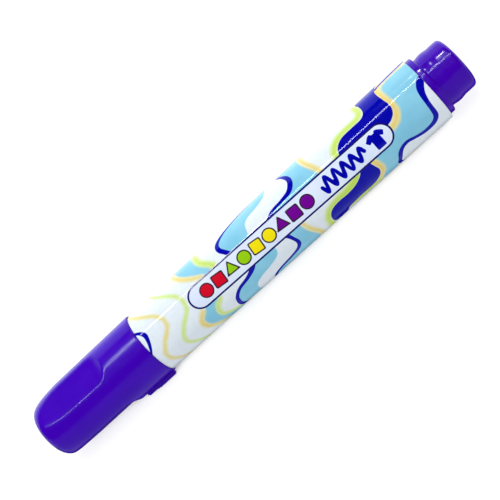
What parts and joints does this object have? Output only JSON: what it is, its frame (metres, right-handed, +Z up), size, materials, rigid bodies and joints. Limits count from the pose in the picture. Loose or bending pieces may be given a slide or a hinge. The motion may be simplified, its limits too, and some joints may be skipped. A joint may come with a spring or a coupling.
{
  "type": "fabric marking pen",
  "caption": "Broad fabric marking pen: tapered barrel with a printed label, rear plug, and a faceted pull-off cap with a rib that stops it rolling.",
  "frame": {"origin": "on the surface the pen lies on, midway along the pen and below its axis, which is 9.1 mm up", "axes": "+X along the pen from the cap to the rear plug, +Z up, +Y away from the side with the anti-roll rib"},
  "size_m": [0.1386, 0.0182, 0.0182],
  "materials": {
    "cap_plastic": "glossy blue-violet moulded plastic",
    "seal_plastic": "soft milky plastic",
    "barrel_plastic": "white moulded plastic",
    "label_film": null,
    "nib_fibre": "matte bonded fibre soaked with ink",
    "reservoir_fibre": "matte fibre bundle soaked with ink",
    "wrap_film": "thin clear film",
    "plug_plastic": "glossy blue-violet moulded plastic"
  },
  "bodies": {
    "pen_body": {"barrel": "barrel_plastic", "printed_label": "label_film", "nib": "nib_fibre", "reservoir_core": "reservoir_fibre", "reservoir_wrap": "wrap_film", "rear_plug": "plug_plastic"},
    "cap_seal": {"cap_inner_seal": "seal_plastic"},
    "cap": {"cap": "cap_plastic"}
  },
  "joints": [
    {"name": "cap_pull", "type": "slide", "parent": "pen_body", "child": "cap_seal", "axis": [-1, 0, 0], "range_m": [0, 0.05]},
    {"name": "cap_turn", "type": "hinge", "parent": "cap_seal", "child": "cap", "pos_m": [-0.05, 0, 0.0091], "axis": [1, 0, 0], "continuous": true}
  ]
}
